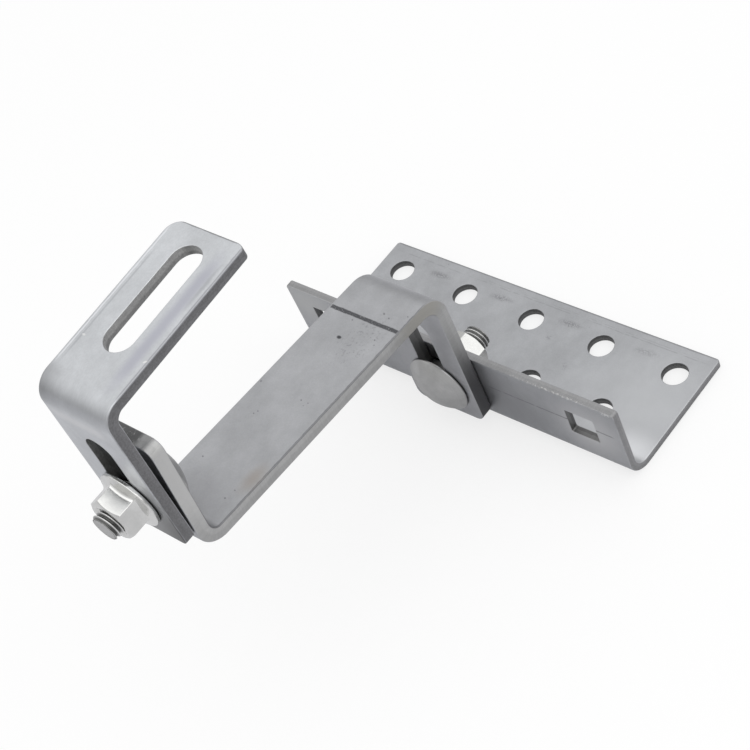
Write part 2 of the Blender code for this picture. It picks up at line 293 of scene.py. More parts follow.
def mark(
    centre,
    half_size,
    depths,
    colour,
    strength,
    turn=0.0,
    fade=1.0,
    lumps=0.0,
    cover=1.0,
    rougher=0.0,
):
    """A mark on one face of the blank. Its centre, across and along from the blank's lower
    end, and its half size are in mm. It fades out over a share of its half size: one
    share makes it an oval, and two make it a straight strip. Lumps of the given size, in
    metres, cover a part of it."""
    patch = {
        "centre": centre,
        "half_size": half_size,
        "turn": turn,
        "fade": fade,
        "depths": depths,
    }
    return patch, colour, strength, lumps, cover, rougher


def marked_patch(tree, place, unsteady, centre, half_size, turn, fade, depths):
    """1 inside a mark and 0 outside."""
    inputs = {
        "Vector": unsteady,
        "Location": (centre[0] / 1000, centre[1] / 1000, 0.0),
        "Rotation": (0.0, 0.0, math.radians(turn)),
        "Scale": (half_size[0] / 1000, half_size[1] / 1000, 1.0),
    }
    settings = {"vector_type": "TEXTURE"}
    local = shading_node(tree, "ShaderNodeMapping", settings, inputs).outputs[0]
    if isinstance(fade, tuple):
        parts = shading_node(tree, "ShaderNodeSeparateXYZ", (), {0: local})
        inside = 1.0
        for axis, share in enumerate(fade):
            away = reckoned(tree, "ABSOLUTE", parts.outputs[axis])
            within = ranged(tree, away, 1.0 - share, 1.0, 1.0, 0.0)
            inside = reckoned(tree, "MULTIPLY", inside, within)
    else:
        settings = {"operation": "MULTIPLY"}
        inputs = {0: local, 1: (1.0, 1.0, 0.0)}
        flat = shading_node(tree, "ShaderNodeVectorMath", settings, inputs).outputs[0]
        settings = {"operation": "LENGTH"}
        away = shading_node(tree, "ShaderNodeVectorMath", settings, {0: flat}).outputs["Value"]
        inside = ranged(tree, away, 1.0 - fade, 1.0, 1.0, 0.0)
    height = shading_node(tree, "ShaderNodeSeparateXYZ", (), {0: place}).outputs[2]
    low, high = depths
    margin = 0.0002
    above_low = ranged(tree, height, low - margin, low, 0.0, 1.0)
    below_high = ranged(tree, height, high, high + margin, 1.0, 0.0)
    on_face = reckoned(tree, "MULTIPLY", above_low, below_high)
    return reckoned(tree, "MULTIPLY", inside, on_face)


def summed(tree, start, shares):
    """The start value plus each pattern times its share."""
    total = start
    for pattern, share in shares:
        total = reckoned(tree, "ADD", total, reckoned(tree, "MULTIPLY", pattern, share))
    return total


def finished_shader(tree, body, shine, relief, strength, distance):
    """Connects colour, roughness and relief to the steel's shader."""
    shader = tree.nodes["Principled BSDF"]
    inputs = {"Height": relief, "Strength": strength, "Distance": distance}
    bumps = shading_node(tree, "ShaderNodeBump", (), inputs).outputs[0]
    for socket, value in (("Normal", bumps), ("Base Color", body), ("Roughness", shine)):
        tree.links.new(value, shader.inputs[socket])
    shader.inputs["Metallic"].default_value = 1.0


def scaled(colour, share):
    """A colour made darker or lighter, at most white."""
    return tuple(min(1.0, channel * share) for channel in colour)


def shaded(tree, colour, pattern, darkest, lightest, low=0.25, high=0.75):
    """The colour made darker and lighter by a pattern."""
    shade = ranged(tree, pattern, low, high, darkest, lightest)
    return coloured(tree, 1.0, colour, shade, "MULTIPLY")


def pitted(tree, place, face, colour):
    """A face with small dark pits here and there: its colour, and the pits themselves."""
    inputs = {"Vector": place, "Scale": 130.0, "Randomness": 1.0}
    cells = shading_node(tree, "ShaderNodeTexVoronoi", (), inputs).outputs
    chosen = shading_node(tree, "ShaderNodeSeparateColor", (), {0: cells["Color"]}).outputs[0]
    chosen = ranged(tree, chosen, 0.82, 0.86)
    pit = ranged(tree, cells["Distance"], 0.020, 0.050, 1.0, 0.0)
    pit = reckoned(tree, "MULTIPLY", pit, chosen)
    share = reckoned(tree, "MULTIPLY", pit, 0.40)
    return coloured(tree, share, face, scaled(colour, 0.35)), pit


def cut_side(tree, place, punched, side_colour, punched_wall_and_shade, thickness):
    """Sheared sides and punched holes: smooth where the blade went in and torn beyond."""
    height = shading_node(tree, "ShaderNodeSeparateXYZ", (), {0: place}).outputs[2]
    ragged = cloudy(tree, place, 0.0020, stretch=(1.0, 1.0, 5.0), shift=2.3)
    torn = summed(tree, height, ((ragged, thickness * 0.30),))
    torn = ranged(tree, torn, thickness * 0.52, thickness * 0.66)
    sheared_face = coloured(tree, torn, side_colour, scaled(side_colour, 0.90))
    # The walls of punched holes and slots carry painted shade in their colour.
    punched_face_and_shade = coloured(tree, torn, punched_wall_and_shade, scaled(punched_wall_and_shade, 1.40))
    return coloured(tree, punched, sheared_face, punched_face_and_shade)


def with_marks(tree, place, body, shine, marks):
    """Colour and roughness with the marks on them. The marks' outlines waver a little."""
    inputs = {"Vector": place, "Scale": 420.0, "Detail": 2.0}
    waver = shading_node(tree, "ShaderNodeTexNoise", (), inputs).outputs["Color"]
    settings = {"operation": "MULTIPLY_ADD"}
    inputs = {0: waver, 1: (0.0005, 0.0005, 0.0), 2: (-0.00025, -0.00025, 0.0)}
    waver = shading_node(tree, "ShaderNodeVectorMath", settings, inputs).outputs[0]
    settings = {"operation": "ADD"}
    inputs = {0: place, 1: waver}
    unsteady = shading_node(tree, "ShaderNodeVectorMath", settings, inputs).outputs[0]
    for patch, colour, strength, lumps, cover, rougher in marks:
        covered = marked_patch(tree, place, unsteady, **patch)
        if lumps:
            breaks = cloudy(tree, place, lumps, detail=3.0, shift=5.3)
            bare = 0.5 + 0.35 * (0.5 - cover)
            breaks = ranged(tree, breaks, bare - 0.07, bare + 0.07)
            covered = reckoned(tree, "MULTIPLY", covered, breaks)
        covered = reckoned(tree, "MULTIPLY", covered, strength)
        body = coloured(tree, covered, body, colour)
        shine = summed(tree, shine, ((covered, rougher),))
    return body, shine


def sheet_steel(name, colour, side_colour, punched_wall_and_shade, side_grain, roughness, thickness, marks):
    """Mill-finished stainless sheet after it has been tumbled: cloudy and finely grained,
    with small pits, sheared sides, punched walls darkened with painted shade, edges that
    are rubbed lighter, and the marks on it, some of them painted shade and highlights."""
    material = bpy.data.materials.new(name)
    material.use_nodes = True
    tree = material.node_tree
    layers = [
        shading_node(tree, "ShaderNodeAttribute", {"attribute_name": layer}).outputs
        for layer in ("blank_place", "rounded_edge", "cut_side", "punched")
    ]
    place = layers[0]["Vector"]
    worn, side, punched = (layer["Fac"] for layer in layers[1:])

    broad = cloudy(tree, place, 0.016, detail=3.0)
    mottle = cloudy(tree, place, 0.0030, detail=3.0, stretch=(1.0, 1.4, 1.0), shift=0.4)
    grain = cloudy(tree, place, 0.00042, detail=3.0, stretch=(1.0, 1.6, 1.0), shift=0.9)
    lightness = ranged(tree, broad, 0.30, 0.70)
    face = coloured(tree, lightness, scaled(colour, 0.93), scaled(colour, 1.06))
    face = shaded(tree, face, mottle, 0.965, 1.035)
    face = shaded(tree, face, grain, 0.95, 1.05)
    face, pit = pitted(tree, place, face, colour)

    shear = cloudy(tree, place, 0.00036, stretch=(1.0, 1.0, 14.0), shift=1.7)
    side_face = cut_side(tree, place, punched, side_colour, punched_wall_and_shade, thickness)
    side_face = shaded(tree, side_face, shear, 0.95, 1.05)
    side_face = shaded(tree, side_face, grain, 1.0 - side_grain, 1.0 + side_grain)
    side_face = shaded(tree, side_face, broad, 0.93, 1.05, low=0.30, high=0.70)
    body = coloured(tree, side, face, side_face)

    rubbed = cloudy(tree, place, 0.0016, detail=3.0, stretch=(1.0, 2.0, 1.0), shift=3.1)
    rubbed = reckoned(tree, "MULTIPLY", worn, ranged(tree, rubbed, 0.35, 0.65, 0.15, 0.80))
    body = coloured(tree, rubbed, body, scaled(colour, 1.12))
    shares = ((broad, 0.08), (grain, 0.10), (side, 0.10), (rubbed, -0.08))
    shine = summed(tree, roughness - 0.09, shares)
    body, shine = with_marks(tree, place, body, shine, marks)

    shear_lines = reckoned(tree, "MULTIPLY", shear, side)
    heights = ((grain, 0.3), (mottle, 0.8), (shear_lines, 0.5), (pit, -1.4), (broad, 1.0))
    relief = summed(tree, 0.0, heights)
    finished_shader(tree, body, shine, relief, strength=0.30, distance=0.00005)
    return material


def carried_by_root(piece, material, node):
    """The finished piece stands for its solid and goes with the whole hook."""
    piece.data.materials.append(material)
    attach(piece, "root")
    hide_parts(node)


plate_bends, plate_blank_length = bend_lines(
    (PLATE_DEPTH - PLATE_THICKNESS, PLATE_HEIGHT - PLATE_THICKNESS),
    [(-QUARTER, PLATE_BEND_RADIUS)],
)
plate_holes = []
screw_hole = (SCREW_HOLE_DIAMETER, SCREW_HOLE_DIAMETER)
for count, from_edge in SCREW_ROWS:
    for index in range(count):
        across = (index - (count - 1) / 2) * SCREW_HOLE_PITCH
        plate_holes.append(((across, from_edge), screw_hole, SCREW_HOLE_DIAMETER / 2))
square_hole = (SQUARE_HOLE_SIDE, SQUARE_HOLE_SIDE)
for index in (-1, 0, 1):
    place = (index * SQUARE_HOLE_PITCH, plate_blank_length - PLATE_HEIGHT + SQUARE_HOLE_HEIGHT)
    plate_holes.append((place, square_hole, SQUARE_HOLE_CORNER))
plate_blank = punched_blank(
    plate_blank_length,
    PLATE_LENGTH,
    PLATE_THICKNESS,
    [(PLATE_CORNER_RADIUS, PLATE_CORNER_RADIUS)] * 3,
    plate_holes,
)
base_plate = pressed_strip(
    "base_plate_steel",
    plate_blank,
    PLATE_LENGTH,
    PLATE_THICKNESS,
    2 * QUARTER,
    plate_bends,
    (0.0, PLATE_DEPTH / 2, PLATE_THICKNESS),
    PLATE_BEND_SWELL,
)

PLATE_COLOUR = (0.40, 0.407, 0.422)
PLATE_SIDE_COLOUR = (0.34, 0.34, 0.345)
# Walls of the punched holes: the steel's colour darkened by painted shade.
PLATE_HOLE_WALL_AND_SHADE = (0.14, 0.14, 0.14)
# Grey for real smudges and dirt lines, also used for marks of painted shade.
SMUDGE_AND_SHADE = (0.22, 0.22, 0.23)
BRIGHT_CHIP = (0.80, 0.80, 0.79)
NEAR_FACE = 0.0001
wide_leg = (-NEAR_FACE, NEAR_FACE)
wide_leg_rim = (-NEAR_FACE, 0.0003)
flange_front = (PLATE_THICKNESS - NEAR_FACE, PLATE_THICKNESS + NEAR_FACE)
flange_top_edge = (PLATE_THICKNESS - 0.0006, PLATE_THICKNESS)
plate_marks = [
    mark((across, 7.6), (7.5, 2.0), wide_leg, SMUDGE_AND_SHADE, 0.70,
         turn=-2.0, fade=0.95, lumps=0.0005, cover=0.6, rougher=0.06)
    for across in (-46.0, -16.5, 15.0, 47.5)
]
plate_marks += [
    # Painted highlight: the wide leg lighter over its +X end, lightest near the bend.
    mark((64.0, 28.0), (48.0, 42.0), wide_leg, (0.52, 0.53, 0.545), 0.70, rougher=-0.02),
    mark((66.0, 46.0), (17.0, 12.0), wide_leg, (0.76, 0.77, 0.79), 0.70, fade=0.95, rougher=-0.05),
    mark((11.3, 15.9), (1.6, 1.2), wide_leg, SMUDGE_AND_SHADE, 0.50,
         turn=20.0, fade=0.60, lumps=0.0007, cover=0.5, rougher=0.06),
    # Painted shade: the flange front darker beside the arm's foot.
    mark((24.0, 62.0), (22.0, 22.0), flange_front, SMUDGE_AND_SHADE, 0.50, rougher=0.04),
    # Painted light: the flange front lighter towards both of its ends.
    mark((60.0, 64.0), (20.0, 20.0), flange_front, (0.63, 0.63, 0.635), 0.80),
    mark((-64.0, 72.0), (24.0, 20.0), flange_front, (0.50, 0.505, 0.50), 0.80),
    mark((24.2, 24.4), (2.6, 1.2), wide_leg, SMUDGE_AND_SHADE, 0.35,
         turn=60.0, fade=0.70, lumps=0.0006, cover=0.5, rougher=0.06),
    mark((0.0, 0.4), (72.5, 0.45), wide_leg_rim, SMUDGE_AND_SHADE, 0.60, fade=(0.02, 0.5), rougher=0.02),
    mark((0.0, 3.6), (72.0, 0.25), wide_leg, SMUDGE_AND_SHADE, 0.38,
         fade=(0.1, 0.8), lumps=0.0030, cover=0.6, rougher=0.02),
    mark((20.0, 2.7), (52.0, 0.18), wide_leg, SMUDGE_AND_SHADE, 0.32,
         fade=(0.2, 0.8), lumps=0.0040, cover=0.5, rougher=0.02),
    mark((44.0, 66.4), (27.0, 0.50), flange_front, SMUDGE_AND_SHADE, 0.80,
         fade=(0.1, 0.8), lumps=0.0040, cover=0.8, rougher=0.04),
    mark((46.0, 78.8), (17.0, 0.35), flange_top_edge, BRIGHT_CHIP, 0.50,
         fade=(0.3, 0.6), lumps=0.0006, cover=0.3, rougher=-0.08),
    mark((70.0, 78.4), (2.6, 1.0), flange_front, BRIGHT_CHIP, 0.60,
         fade=0.60, lumps=0.0005, cover=0.5, rougher=-0.08),
]
plate_steel = sheet_steel(
    "base_plate_stainless",
    PLATE_COLOUR,
    PLATE_SIDE_COLOUR,
    PLATE_HOLE_WALL_AND_SHADE,
    side_grain=0.08,
    roughness=0.42,
    thickness=PLATE_THICKNESS,
    marks=plate_marks,
)
carried_by_root(base_plate, plate_steel, "base_plate")


# HOOK ARM
# Stainless flat bar, 30 by 5 mm, with a slotted foot that stands against the base plate's
# flange, a long run that goes out over the tile, and an upturned tip. It is sheared,
# punched, and folded twice. A felt pen line shows where the bar was set in the press.

BAR_WIDTH = 0.030
ARM_THICKNESS = 0.005
ARM_FOOT_LENGTH = 0.064
ARM_FOOT_BELOW_BOLT = 0.014
ARM_REACH = 0.110
ARM_RISE = math.radians(4.0)
ARM_TIP_LENGTH = 0.043
ARM_TIP_LEAN = math.radians(2.5)
ARM_TOP_BEND_RADIUS = 0.005
ARM_TIP_BEND_RADIUS = 0.004
ARM_FOOT_CORNER = 0.0035
ARM_TIP_CORNER = 0.004
ARM_SLOT_LENGTH = 0.043
ARM_SLOT_BELOW_BOLT = 0.0095
TIP_HOLE_FROM_END = 0.0226
SLOT_WIDTH = 0.0113
SEAT_GAP = 0.0003
ARM_BEND_SWELL = (0.00025, 0.00015)

arm_back = -PLATE_DEPTH / 2 - SEAT_GAP
arm_bends, arm_blank_length = bend_lines(
    (ARM_FOOT_LENGTH, ARM_REACH, ARM_TIP_LENGTH),
    (
        (QUARTER - ARM_RISE, ARM_TOP_BEND_RADIUS + ARM_THICKNESS),
        (ARM_RISE - ARM_TIP_LEAN - QUARTER, ARM_TIP_BEND_RADIUS),
    ),
)
arm_slot_middle = ARM_FOOT_BELOW_BOLT - ARM_SLOT_BELOW_BOLT + ARM_SLOT_LENGTH / 2
tip_hole_middle = arm_blank_length - TIP_HOLE_FROM_END
arm_holes = (
    ((0.0, arm_slot_middle), (SLOT_WIDTH, ARM_SLOT_LENGTH), SLOT_WIDTH / 2),
    ((0.0, tip_hole_middle), square_hole, SQUARE_HOLE_CORNER),
)
arm_corners = [(radius, radius) for radius in (ARM_FOOT_CORNER, ARM_TIP_CORNER, ARM_TIP_CORNER)]
arm_blank = punched_blank(arm_blank_length, BAR_WIDTH, ARM_THICKNESS, arm_corners, arm_holes)
hook_arm = pressed_strip(
    "hook_arm_steel",
    arm_blank,
    BAR_WIDTH,
    ARM_THICKNESS,
    QUARTER,
    arm_bends,
    (0.0, arm_back, SQUARE_HOLE_HEIGHT - ARM_FOOT_BELOW_BOLT),
    ARM_BEND_SWELL,
)

ARM_COLOUR = (0.41, 0.415, 0.43)
ARM_SIDE_COLOUR = (0.51, 0.51, 0.505)
# Walls of the slot and square hole: the steel's colour darkened by painted shade.
ARM_SLOT_WALL_AND_SHADE = (0.20, 0.20, 0.20)
# Painted reflection: a warm tone on the arm's side where it goes round the top bend.
PAINTED_WARM_REFLECTION = (0.42, 0.41, 0.38)
FOOT_SIDE_SHADE = (0.11, 0.11, 0.115)
# Felt pen ink, also used for a line of painted shade along the arm's right edge.
PEN_INK_AND_SHADE = (0.035, 0.035, 0.04)
arm_top = (-NEAR_FACE, NEAR_FACE)
arm_top_edge = (-NEAR_FACE, 0.0003)
arm_side = (0.0003, ARM_THICKNESS - 0.0003)
foot_front = (ARM_THICKNESS - NEAR_FACE, ARM_THICKNESS + NEAR_FACE)
arm_marks = [
    mark((0.0, 81.35), (14.7, 0.95), arm_top, PEN_INK_AND_SHADE, 0.80,
         fade=(0.04, 0.45), lumps=0.0004, cover=0.95, rougher=0.15),
    mark((-2.4, 91.3), (1.35, 0.85), arm_top, PEN_INK_AND_SHADE, 0.85, turn=10.0, fade=0.60, rougher=0.10),
    # Painted shade: a dark line along the arm's rounded right edge, from the top bend to the tip.
    mark((14.8, 136.0), (0.45, 72.0), arm_top_edge, PEN_INK_AND_SHADE, 0.52,
         fade=(0.6, 0.1), rougher=0.10),
    # Painted shade: the arm's top darker in and around the tip bend.
    mark((0.0, 168.0), (19.0, 26.0), arm_top, SMUDGE_AND_SHADE, 0.45),
    mark((12.0, 149.0), (4.5, 9.0), arm_top, (0.34, 0.29, 0.24), 0.45, fade=0.95),
    mark((5.0, 90.0), (9.0, 17.0), arm_top, SMUDGE_AND_SHADE, 0.45,
         turn=10.0, fade=0.60, lumps=0.0010, cover=0.16, rougher=0.05),
    # A darker oval on the right half of the foot's front.
    mark((10.0, 38.0), (7.0, 26.0), foot_front, SMUDGE_AND_SHADE, 0.35, turn=-8.0, rougher=0.02),
    # Painted reflection: warm tone on the side at the top bend.
    mark((15.0, 70.0), (0.8, 16.0), arm_side, PAINTED_WARM_REFLECTION, 0.90, fade=(0.3, 0.7)),
    mark((15.0, 5.0), (0.8, 44.0), arm_side, FOOT_SIDE_SHADE, 0.90, fade=(0.3, 0.75), rougher=0.05),
    # Painted light: the upturned tip's side lighter than the run's side.
    mark((15.0, 196.0), (0.8, 27.0), arm_side, (0.62, 0.62, 0.61), 0.75, fade=(0.3, 0.7)),
    mark((-3.0, 211.7), (13.0, 0.8), arm_side, (0.15, 0.15, 0.15), 0.85,
         fade=(0.2, 0.3), lumps=0.0011, cover=0.85, rougher=0.05),
]
arm_marks += [
    mark((across, along), (size, size * 0.7), arm_top, SMUDGE_AND_SHADE, 0.80,
         turn=30.0, fade=0.55, rougher=0.08)
    for across, along, size in (
        (4.9, 76.8, 0.70),
        (7.8, 77.7, 0.60),
        (13.2, 74.5, 0.45),
        (-3.4, 83.4, 0.50),
        (9.7, 87.2, 0.55),
        (10.9, 89.0, 0.40),
        (4.3, 117.8, 0.50),
        (7.3, 117.7, 0.40),
        (-5.8, 127.6, 0.45),
        (-6.4, 128.9, 0.50),
        (-9.5, 149.9, 0.60),
        (9.8, 155.2, 0.45),
        (9.0, 159.0, 0.55),
        (-13.8, 117.5, 0.60),
    )
]
arm_steel = sheet_steel(
    "hook_arm_stainless",
    ARM_COLOUR,
    ARM_SIDE_COLOUR,
    ARM_SLOT_WALL_AND_SHADE,
    side_grain=0.04,
    roughness=0.42,
    thickness=ARM_THICKNESS,
    marks=arm_marks,
)
carried_by_root(hook_arm, arm_steel, "hook_arm")


# RAIL BRACKET
# Brighter stainless flat bar, 30 by 4 mm, folded once, with a long slot in each leg. The
# lower slot lets it slide up and down on the bolt through the arm's tip, and the upper
# one takes the bolt that clamps the rail.

BRACKET_THICKNESS = 0.004
BRACKET_FOOT_LENGTH = 0.0608
BRACKET_FOOT_BELOW_BOLT = 0.0156
BRACKET_REACH = 0.0649
BRACKET_RISE = math.radians(3.0)
BRACKET_BEND_RADIUS = 0.003
BRACKET_FOOT_CORNER = 0.002
BRACKET_END_CORNER = 0.005
BRACKET_CUT_CORNER = (0.0039, 0.0021)
FOOT_SLOT_LENGTH = 0.038
FOOT_SLOT_BELOW_BOLT = 0.0106
RAIL_SLOT_LENGTH = 0.040
RAIL_SLOT_FROM_END = 0.006
BRACKET_BEND_SWELL = (0.00020, 0.00015)

top_bend, tip_bend = arm_bends
upright_share = top_bend["angle"] / abs(tip_bend["angle"])
upright_from = tip_bend["start"] + tip_bend["length"] * upright_share
arm_outermost = pressed_point(upright_from, ARM_THICKNESS, QUARTER, arm_bends)
bracket_back = arm_back + arm_outermost.x - SEAT_GAP
tip_at_bolt = pressed_point(tip_hole_middle, 0.0, QUARTER, arm_bends)
tip_bolt_height = SQUARE_HOLE_HEIGHT - ARM_FOOT_BELOW_BOLT + tip_at_bolt.y
bracket_turn = QUARTER - BRACKET_RISE
inside_corner = BRACKET_THICKNESS * math.tan(bracket_turn / 2)
bracket_bends, bracket_blank_length = bend_lines(
    (BRACKET_FOOT_LENGTH - inside_corner, BRACKET_REACH - inside_corner),
    [(-bracket_turn, BRACKET_BEND_RADIUS)],
)
foot_slot_middle = BRACKET_FOOT_BELOW_BOLT - FOOT_SLOT_BELOW_BOLT + FOOT_SLOT_LENGTH / 2
rail_slot_middle = bracket_blank_length - RAIL_SLOT_FROM_END - RAIL_SLOT_LENGTH / 2
bracket_holes = (
    ((0.0, foot_slot_middle), (SLOT_WIDTH, FOOT_SLOT_LENGTH), SLOT_WIDTH / 2),
    ((0.0, rail_slot_middle), (SLOT_WIDTH, RAIL_SLOT_LENGTH), SLOT_WIDTH / 2),
)
bracket_blank = punched_blank(
    bracket_blank_length,
    BAR_WIDTH,
    BRACKET_THICKNESS,
    [(BRACKET_FOOT_CORNER,) * 2, (BRACKET_END_CORNER,) * 2, BRACKET_CUT_CORNER],
    bracket_holes,
)
rail_bracket = pressed_strip(
    "rail_bracket_steel",
    bracket_blank,
    BAR_WIDTH,
    BRACKET_THICKNESS,
    QUARTER,
    bracket_bends,
    (0.0, bracket_back, tip_bolt_height - BRACKET_FOOT_BELOW_BOLT),
    BRACKET_BEND_SWELL,
)

BRACKET_COLOUR = (0.58, 0.595, 0.615)
BRACKET_SIDE_COLOUR = (0.22, 0.22, 0.225)
# Walls of the slots: the steel's colour darkened by painted shade.
BRACKET_SLOT_WALL_AND_SHADE = (0.27, 0.27, 0.265)
bracket_top = (BRACKET_THICKNESS - NEAR_FACE, BRACKET_THICKNESS + NEAR_FACE)
bracket_edge = (BRACKET_THICKNESS - SHEARED_EDGE, BRACKET_THICKNESS + NEAR_FACE)
bracket_marks = [
    # Painted shade: a bluish darker band along the top's right edge.
    mark((10.2, 86.0), (3.6, 30.0), bracket_top, (0.44, 0.445, 0.50), 0.85,
         fade=(0.9, 0.5), rougher=-0.03),
    mark((12.6, 100.0), (1.1, 13.0), bracket_top, (0.38, 0.39, 0.41), 0.60, fade=0.90),
    mark((-12.5, 84.0), (0.6, 24.0), bracket_top, (0.36, 0.37, 0.39), 0.50, fade=(0.9, 0.4)),
    # Painted shade: the bracket foot's front dark towards its bottom, darkest at the lower right.
    mark((8.0, -4.0), (28.0, 42.0), bracket_top, (0.17, 0.17, 0.17), 0.90),
    mark((15.0, 5.0), (12.0, 22.0), bracket_top, (0.09, 0.09, 0.09), 0.90),
    # Painted shade across the bend and at its left end, and a painted highlight just below the
    # bend.
    mark((0.0, 55.8), (15.5, 2.8), bracket_top, (0.30, 0.305, 0.32), 0.32, fade=(0.05, 0.9)),
    mark((-15.0, 57.5), (13.0, 6.5), bracket_top, (0.22, 0.22, 0.23), 0.50),
    mark((-2.0, 50.0), (14.0, 3.5), bracket_top, (0.72, 0.72, 0.73), 0.60, fade=(0.4, 0.9)),
    # Painted shade over the rounded right edge of the top.
    mark((14.9, 88.0), (0.9, 31.0), bracket_edge, (0.34, 0.345, 0.365), 0.80,
         fade=(0.5, 0.15), rougher=0.05),
    mark((0.0, 116.8), (14.0, 0.5), bracket_edge, (0.20, 0.20, 0.21), 0.65,
         fade=(0.3, 0.4), rougher=0.05),
    # Painted highlight: a near-white line along the top's rounded left edge.
    mark((-13.9, 88.0), (0.45, 28.0), bracket_top, (0.86, 0.87, 0.90), 0.60,
         fade=(0.8, 0.2), rougher=-0.04),
    mark((13.9, 72.6), (1.0, 0.5), bracket_top, BRIGHT_CHIP, 0.80, turn=40.0, fade=0.60),
    mark((-11.9, 72.4), (0.9, 0.5), bracket_top, BRIGHT_CHIP, 0.70, fade=0.60),
]
bracket_steel = sheet_steel(
    "rail_bracket_stainless",
    BRACKET_COLOUR,
    BRACKET_SIDE_COLOUR,
    BRACKET_SLOT_WALL_AND_SHADE,
    side_grain=0.16,
    roughness=0.38,
    thickness=BRACKET_THICKNESS,
    marks=bracket_marks,
)
carried_by_root(rail_bracket, bracket_steel, "rail_bracket")


# CARRIAGE BOLTS
# Cold-headed stainless bolts with a low domed head, a square neck that keeps them from
# turning in the slot or the square hole, and a rolled thread. The head needs no tool.

HEAD_DIAMETER = 0.024
HEAD_HEIGHT = 0.0054
HEAD_RIM = 0.0006
RIM_ROUNDING = 0.00035
RIM_STEPS = 4
NECK_SIDE = 0.0100
NECK_CORNER = 0.0006
NECK_FOOT_GROWTH = 0.0006
NECK_LENGTH = 0.0062
THREAD_CREST = 0.0097
THREAD_ROOT = 0.0082
THREAD_PITCH = 0.0015
BOLT_LENGTH = 0.0235
BOLT_END_CHAMFER = 0.0006
CHAMFER_SLOPE = 0.95
THREAD_RUN_OUT = 0.0020
THREAD_START_RISE = 0.0003
HEAD_POINTS = 96
THREAD_COLUMNS = 72
DOME_STEPS = 24


def flat_sided_radius(angle, across_flats, corners, rounding):
    """Distance from the centre to the side of a square or hexagon with rounded corners
    and a corner at angle 0."""
    half = math.pi / corners
    away = (angle + half) % (2 * half) - half
    corner = (across_flats / 2 - rounding) / math.cos(half)
    flat = across_flats / 2 / math.cos(half - abs(away))
    reach = rounding**2 - (corner * math.sin(away)) ** 2
    if reach < 0:
        return flat
    return min(flat, corner * math.cos(away) + math.sqrt(reach))


def turned_ring(bm, angles, shape):
    """A ring of points about the bolt's axis. The shape gives a radius and a height."""
    ring = []
    for angle in angles:
        radius, height = shape(angle)
        ring.append(bm.verts.new((radius * math.cos(angle), radius * math.sin(angle), height)))
    return ring


def rounded_rim(radius, low, high):
    """Radii and heights up a turned rim whose two corners are rounded."""
    turns = [QUARTER * step / RIM_STEPS for step in range(RIM_STEPS + 1)]
    cuts = [(RIM_ROUNDING * (1 - math.sin(t)), RIM_ROUNDING * (1 - math.cos(t))) for t in turns]
    rows = [(radius - inwards, low + upwards) for inwards, upwards in cuts]
    return rows + [(radius - inwards, high - downwards) for downwards, inwards in cuts]


def rolled_thread(bm, start, end):
    """The thread from start to end of the shank: one row of points for each step of the
    thread's section, wound up the shank, and cut off by the chamfer at the end."""
    # Shares of the pitch and of the thread's depth
    section = (
        (0.00, 0.0),
        (0.10, 0.02),
        (0.20, 0.20),
        (0.34, 0.62),
        (0.44, 0.93),
        (0.50, 1.0),
        (0.56, 1.0),
        (0.62, 0.93),
        (0.72, 0.62),
        (0.86, 0.20),
        (0.94, 0.02),
    )
    turns = math.ceil((end - start) / THREAD_PITCH) + 1
    grid = []
    for column in range(THREAD_COLUMNS + 1):
        angle = 2 * math.pi * column / THREAD_COLUMNS
        line = []
        for turn in range(-1, turns + 1):
            for along, rise in section:
                height = start + THREAD_PITCH * (turn + along + column / THREAD_COLUMNS)
                radius = (THREAD_ROOT + (THREAD_CREST - THREAD_ROOT) * rise) / 2
                height = min(max(height, start), end)
                fade = min(1.0, max(0.0, (height - start) / THREAD_RUN_OUT))
                radius = (
                    THREAD_ROOT / 2
                    + (radius - THREAD_ROOT / 2) * fade
                    + THREAD_START_RISE * (1 - fade)
                )
                past_chamfer = max(0.0, height - (end - BOLT_END_CHAMFER))
                radius = min(radius, THREAD_CREST / 2 - past_chamfer * CHAMFER_SLOPE)
                point = (radius * math.cos(angle), radius * math.sin(angle), height)
                line.append(bm.verts.new(point))
        grid.append(line)
    for left, right in zip(grid, grid[1:]):
        for index in range(len(left) - 1):
            bm.faces.new((left[index], right[index], right[index + 1], left[index + 1]))


